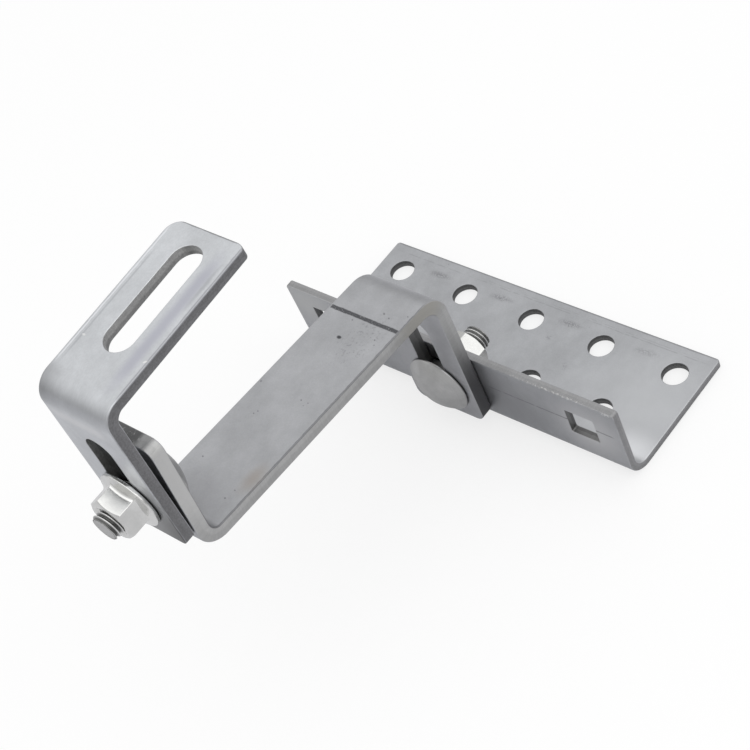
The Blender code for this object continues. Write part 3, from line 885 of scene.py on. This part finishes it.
def carriage_bolt():
    """Domed head below height 0, then the square neck and the threaded shank above it."""
    bm = bmesh.new()
    angles = [2 * math.pi * step / HEAD_POINTS for step in range(HEAD_POINTS)]
    head_radius = HEAD_DIAMETER / 2
    dome = HEAD_HEIGHT - HEAD_RIM
    dome_radius = (head_radius**2 + dome**2) / (2 * dome)
    dome_turn = math.asin(head_radius / dome_radius)
    rings = []
    for step in range(DOME_STEPS - 1):
        turn = dome_turn * step / DOME_STEPS
        height = dome_radius * (1 - math.cos(turn)) - HEAD_HEIGHT
        rings.append(turned_ring(bm, angles, lambda angle: (dome_radius * math.sin(turn), height)))
    for radius, height in rounded_rim(head_radius, -HEAD_RIM - 0.00025, 0.0)[1:]:
        rings.append(turned_ring(bm, angles, lambda angle: (radius, height)))

    def square_neck(angle, side, height):
        return flat_sided_radius(angle + math.pi / 4, side, 4, NECK_CORNER), height

    for side, height in (
        (NECK_SIDE + NECK_FOOT_GROWTH, 0.0),
        (NECK_SIDE, 0.0004),
        (NECK_SIDE, NECK_LENGTH - 0.0008),
    ):
        rings.append(turned_ring(bm, angles, lambda angle: square_neck(angle, side, height)))
    thread_start = THREAD_ROOT / 2 + THREAD_START_RISE
    rings.append(turned_ring(bm, angles, lambda angle: (thread_start, NECK_LENGTH)))
    bridge(bm, rings)
    rolled_thread(bm, NECK_LENGTH, BOLT_LENGTH)
    # The cropped end is slightly dished.
    end_radius = THREAD_CREST / 2 - CHAMFER_SLOPE * BOLT_END_CHAMFER
    end_rings = []
    for radius, height in (
        (end_radius, BOLT_LENGTH),
        (end_radius - 0.0003, BOLT_LENGTH),
        (end_radius - 0.0012, BOLT_LENGTH - 0.00012),
        (end_radius * 0.4, BOLT_LENGTH - 0.00018),
        (0.00001, BOLT_LENGTH - 0.00020),
    ):
        end_rings.append(turned_ring(bm, angles, lambda angle: (radius, height)))
    bridge(bm, end_rings)
    bmesh.ops.remove_doubles(bm, verts=bm.verts, dist=2e-6)
    bmesh.ops.dissolve_degenerate(bm, edges=bm.edges, dist=1e-6)
    return bm


def fastener_steel(name, colour, roughness, turning_share, thread=None):
    """Bright cold-formed stainless: fine turning lines round the axis, small dents and rubs,
    and on an outside thread, which runs between two heights, painted shade down in its
    roots and painted highlights on its crests."""
    material = bpy.data.materials.new(name)
    material.use_nodes = True
    tree = material.node_tree
    place = shading_node(tree, "ShaderNodeTexCoord").outputs["Object"]
    parts = shading_node(tree, "ShaderNodeSeparateXYZ", (), {0: place}).outputs
    squares = [reckoned(tree, "MULTIPLY", parts[axis], parts[axis]) for axis in (0, 1)]
    radius = reckoned(tree, "SQRT", reckoned(tree, "ADD", squares[0], squares[1]))
    inputs = {0: radius, 2: parts[2]}
    round_place = shading_node(tree, "ShaderNodeCombineXYZ", (), inputs).outputs[0]
    turning = cloudy(tree, round_place, 0.00022)
    broad = cloudy(tree, place, 0.006, detail=3.0, shift=0.3)
    grain = cloudy(tree, place, 0.00045, detail=3.0, shift=0.8)
    lightness = ranged(tree, broad, 0.30, 0.70)
    body = coloured(tree, lightness, scaled(colour, 0.90), scaled(colour, 1.07))
    body = shaded(tree, body, grain, 0.97, 1.03)
    body = shaded(tree, body, turning, 1.0 - turning_share, 1.0 + turning_share)
    if thread:
        on_thread = ranged(tree, parts[2], thread[0], thread[0] + 0.0008)
        before_end = ranged(tree, parts[2], thread[1] - 0.0004, thread[1] - 0.0003, 1.0, 0.0)
        on_thread = reckoned(tree, "MULTIPLY", on_thread, before_end)
        # Painted shade down in the thread's roots.
        in_root = ranged(tree, radius, THREAD_ROOT / 2, THREAD_CREST / 2 - 0.0001, 1.0, 0.0)
        painted_root_shade = reckoned(tree, "MULTIPLY", on_thread, in_root)
        painted_root_shade = reckoned(tree, "MULTIPLY", painted_root_shade, 0.85)
        body = coloured(tree, painted_root_shade, body, scaled(colour, 0.20))
        # Painted highlight on the thread's crests.
        painted_crest_highlight = ranged(tree, radius, THREAD_CREST / 2 - 0.0002, THREAD_CREST / 2)
        painted_crest_highlight = reckoned(tree, "MULTIPLY", on_thread, painted_crest_highlight)
        body = coloured(tree, painted_crest_highlight, body, scaled(colour, 1.7))
    shine = summed(tree, roughness - 0.08, ((broad, 0.08), (grain, 0.08)))
    relief = summed(tree, grain, ((turning, turning_share * 6), (broad, 3.0)))
    finished_shader(tree, body, shine, relief, strength=0.08, distance=0.00004)
    return material


BOLT_COLOUR = (0.46, 0.46, 0.455)
bolt_steel = fastener_steel(
    "bolt_stainless",
    BOLT_COLOUR,
    roughness=0.34,
    turning_share=0.03,
    thread=(NECK_LENGTH, BOLT_LENGTH),
)
base_seat = arm_back - ARM_THICKNESS - SEAT_GAP
head_touch = pressed_point(tip_hole_middle + HEAD_DIAMETER / 2, 0.0, QUARTER, arm_bends)
tip_seat = arm_back + head_touch.x + SEAT_GAP
for name, seat, height, tilt in (
    ("base_bolt", base_seat, SQUARE_HOLE_HEIGHT, -QUARTER),
    ("rail_bolt", tip_seat, tip_bolt_height, QUARTER),
):
    bolt = smooth_piece(name + "_steel", carriage_bolt(), (0.0, seat, height))
    bolt.rotation_euler = (tilt, 0.0, 0.0)
    carried_by_root(bolt, bolt_steel, name)


# FLANGED NUTS
# Cold-formed hexagon nuts with a wide round flange that is forged in one piece with
# them. One holds the arm's foot against the flange, and the other holds the bracket
# against the arm's tip. Their faces are almost mirror bright.

NUT_ACROSS_FLATS = 0.015
NUT_HEIGHT = 0.0094
NUT_FLANGE_DIAMETER = 0.0218
NUT_FLANGE_RIM = 0.0014
NUT_FLANGE_SLOPE = math.radians(20.0)
NUT_CHAMFER_DIAMETER = 0.0142
NUT_CHAMFER_SLOPE = math.radians(30.0)
NUT_BORE = 0.0100
NUT_CORNER = 0.0004
NUT_TOP_ROUNDING = 0.00012
NUT_RIM_WAVE = 0.00006
BASE_NUT_TURN = math.radians(20.0)
RAIL_NUT_TURN = math.radians(41.0)


def flanged_nut():
    """Hexagon on a round sloping flange, seated on height 0."""
    bm = bmesh.new()
    past_corner = (0.6, 1.2, 2, 3, 5, 8, 12, 18, 24)
    before_corner = [-degrees for degrees in reversed(past_corner)]
    offsets = (-30, *before_corner, 0, *past_corner)
    angles = [math.radians(60 * corner + offset) for corner in range(6) for offset in offsets]
    flange_radius = NUT_FLANGE_DIAMETER / 2
    chamfer_radius = NUT_CHAMFER_DIAMETER / 2
    bore = NUT_BORE / 2

    def hexagon(angle, grown):
        return flat_sided_radius(angle, NUT_ACROSS_FLATS, 6, NUT_CORNER) + grown

    def wavy_rim(angle, radius):
        waver = noise.noise(Vector((math.cos(angle), math.sin(angle), 0.3)) * 5)
        return radius - NUT_RIM_WAVE * (1 + waver)

    def flange_top(angle, grown):
        radius = hexagon(angle, grown)
        return radius, NUT_FLANGE_RIM + (flange_radius - radius) * math.tan(NUT_FLANGE_SLOPE)

    def corner_cut(angle, lowered):
        radius = hexagon(angle, 0.0)
        cut = max(0.0, radius - chamfer_radius) * math.tan(NUT_CHAMFER_SLOPE)
        return radius, NUT_HEIGHT - lowered - cut

    def fillet(angle, grown, raised):
        radius, height = flange_top(angle, grown)
        return radius, height + raised

    def top_edge(angle):
        return hexagon(angle, -NUT_TOP_ROUNDING), corner_cut(angle, 0.0)[1]

    rings = [turned_ring(bm, angles, lambda angle: (bore + 0.0005, 0.0))]
    for radius, height in rounded_rim(flange_radius, 0.0, NUT_FLANGE_RIM):
        rings.append(turned_ring(bm, angles, lambda angle: (wavy_rim(angle, radius), height)))
    rings.append(turned_ring(bm, angles, lambda angle: flange_top(angle, 0.0009)))
    for grown, raised in ((0.0005, 0.0001), (0.0002, 0.0003), (0.00005, 0.0006), (0.0, 0.0010)):
        rings.append(turned_ring(bm, angles, lambda angle: fillet(angle, grown, raised)))
    rings.append(turned_ring(bm, angles, lambda angle: corner_cut(angle, NUT_TOP_ROUNDING)))
    rings.append(turned_ring(bm, angles, top_edge))
    # The flat top, and then down the bore to its chamfered foot
    for radius, height in (
        (chamfer_radius - 0.0001, NUT_HEIGHT),
        (bore + 0.0011, NUT_HEIGHT),
        (bore + 0.0009, NUT_HEIGHT - 0.00005),
        (bore, NUT_HEIGHT - 0.0009),
        (bore, 0.0005),
    ):
        rings.append(turned_ring(bm, angles, lambda angle: (radius, height)))
    bridge(bm, [*rings, rings[0]])
    return bm


NUT_COLOUR = (0.71, 0.71, 0.695)
nut_steel = fastener_steel("nut_stainless", NUT_COLOUR, roughness=0.20, turning_share=0.01)
base_nut_seat = -PLATE_DEPTH / 2 + PLATE_THICKNESS + SEAT_GAP
rail_nut_seat = bracket_back - BRACKET_THICKNESS - SEAT_GAP
for name, seat, height, tilt, turn in (
    ("base_nut", base_nut_seat, SQUARE_HOLE_HEIGHT, -QUARTER, BASE_NUT_TURN),
    ("rail_nut", rail_nut_seat, tip_bolt_height, QUARTER, RAIL_NUT_TURN),
):
    nut = smooth_piece(name + "_steel", flanged_nut(), (0.0, seat, height))
    nut.rotation_euler = (tilt, -turn, 0.0)
    carried_by_root(nut, nut_steel, name)


# STAND FOR THE PICTURE
# The hook stands on a plain pale floor in a white studio, under two large soft lamps.
# The steel mirrors the white ceiling and the greyer walls and floor, and the floor keeps
# a faint shadow.

FLOOR_HALF_SIZE = 3.0
FLOOR_DROP = 0.0002
FLOOR_GREY = (0.72, 0.72, 0.74)
WHITE = (1.0, 1.0, 1.0)
FLOOR_GLOW = 0.72
MIRRORED_FLOOR_GLOW = 0.12
MIRRORED_HORIZON = 0.55
CEILING_FROM = 0.65
SOFT_LIGHT = 0.80
HOOK_MIDDLE = Vector((0.0, -0.06, 0.06))


def studio_rays(tree):
    """The kinds of rays, and 1 for those that see the studio as plain white."""
    rays = shading_node(tree, "ShaderNodeLightPath").outputs
    return rays, reckoned(tree, "MAXIMUM", rays["Is Camera Ray"], rays["Is Transmission Ray"])


floor_mesh = bpy.data.meshes.new("studio_floor")
floor_cuts = bmesh.new()
bmesh.ops.create_grid(floor_cuts, x_segments=8, y_segments=8, size=FLOOR_HALF_SIZE)
floor_cuts.to_mesh(floor_mesh)
floor_cuts.free()
floor = bpy.data.objects.new("studio_floor", floor_mesh)
bpy.context.scene.collection.objects.link(floor)
floor.location = (0.0, 0.0, -FLOOR_DROP)
floor_paint = bpy.data.materials.new("studio_floor_paint")
floor_paint.use_nodes = True
floor_tree = floor_paint.node_tree
floor_shader = floor_tree.nodes["Principled BSDF"]
floor_shader.inputs["Roughness"].default_value = 0.9
floor_shader.inputs["Specular IOR Level"].default_value = 0.0
rays, white_rays = studio_rays(floor_tree)
floor_colour = coloured(floor_tree, white_rays, FLOOR_GREY, WHITE)
floor_tree.links.new(floor_colour, floor_shader.inputs["Base Color"])
white_share = reckoned(floor_tree, "MULTIPLY", white_rays, FLOOR_GLOW)
mirrored_share = reckoned(floor_tree, "MULTIPLY", rays["Is Glossy Ray"], MIRRORED_FLOOR_GLOW)
share = reckoned(floor_tree, "MAXIMUM", white_share, mirrored_share)
inputs = {"Color": (*WHITE, 1.0), "Strength": 1.0}
white = shading_node(floor_tree, "ShaderNodeEmission", (), inputs).outputs[0]
inputs = {0: share, 1: floor_shader.outputs[0], 2: white}
mixed = shading_node(floor_tree, "ShaderNodeMixShader", (), inputs).outputs[0]
floor_tree.links.new(mixed, floor_tree.nodes["Material Output"].inputs["Surface"])
floor_mesh.materials.append(floor_paint)

studio = bpy.data.worlds.new("white_studio")
bpy.context.scene.world = studio
studio.use_nodes = True
studio_tree = studio.node_tree
studio_light = studio_tree.nodes["Background"]
rays, white_rays = studio_rays(studio_tree)
direction = shading_node(studio_tree, "ShaderNodeTexCoord").outputs["Generated"]
upwards = shading_node(studio_tree, "ShaderNodeSeparateXYZ", (), {0: direction}).outputs[2]
mirrored = ranged(studio_tree, upwards, 0.0, CEILING_FROM, MIRRORED_HORIZON, 1.0)
mirrored = reckoned(studio_tree, "MULTIPLY", rays["Is Glossy Ray"], mirrored)
level = reckoned(studio_tree, "MAXIMUM", mirrored, white_rays)
soft_rays = reckoned(studio_tree, "SUBTRACT", 1.0, rays["Is Glossy Ray"])
soft_level = reckoned(studio_tree, "MULTIPLY", soft_rays, SOFT_LIGHT)
level = reckoned(studio_tree, "MAXIMUM", level, soft_level)
studio_light.inputs["Color"].default_value = (*WHITE, 1.0)
studio_tree.links.new(level, studio_light.inputs["Strength"])

for name, place, size, power in (
    ("lamp_above", (0.30, -0.25, 1.40), 2.0, 5.0),
    ("lamp_right", (1.10, 0.30, 0.80), 1.0, 1.2),
):
    lamp = bpy.data.lights.new(name, "AREA")
    lamp.shape = "DISK"
    lamp.size = size
    lamp.energy = power
    stand = bpy.data.objects.new(name, lamp)
    bpy.context.scene.collection.objects.link(stand)
    stand.location = place
    towards = HOOK_MIDDLE - Vector(place)
    stand.rotation_euler = towards.to_track_quat("-Z", "Y").to_euler()

# The camera's place and lens were found by matching edges and corners with the photo.
lens = bpy.data.cameras.new("picture_camera")
lens.sensor_width = 36.0
lens.lens = 90.43
camera = bpy.data.objects.new("picture_camera", lens)
bpy.context.scene.collection.objects.link(camera)
camera.matrix_world = Matrix(
    (
        (0.73509, -0.31556, 0.60005, 0.3701),
        (0.59934, 0.71618, -0.35760, -0.2741),
        (-0.31690, 0.62251, 0.71558, 0.4911),
        (0.0, 0.0, 0.0, 1.0),
    )
)
bpy.context.scene.camera = camera
bpy.context.scene.view_settings.view_transform = "Standard"
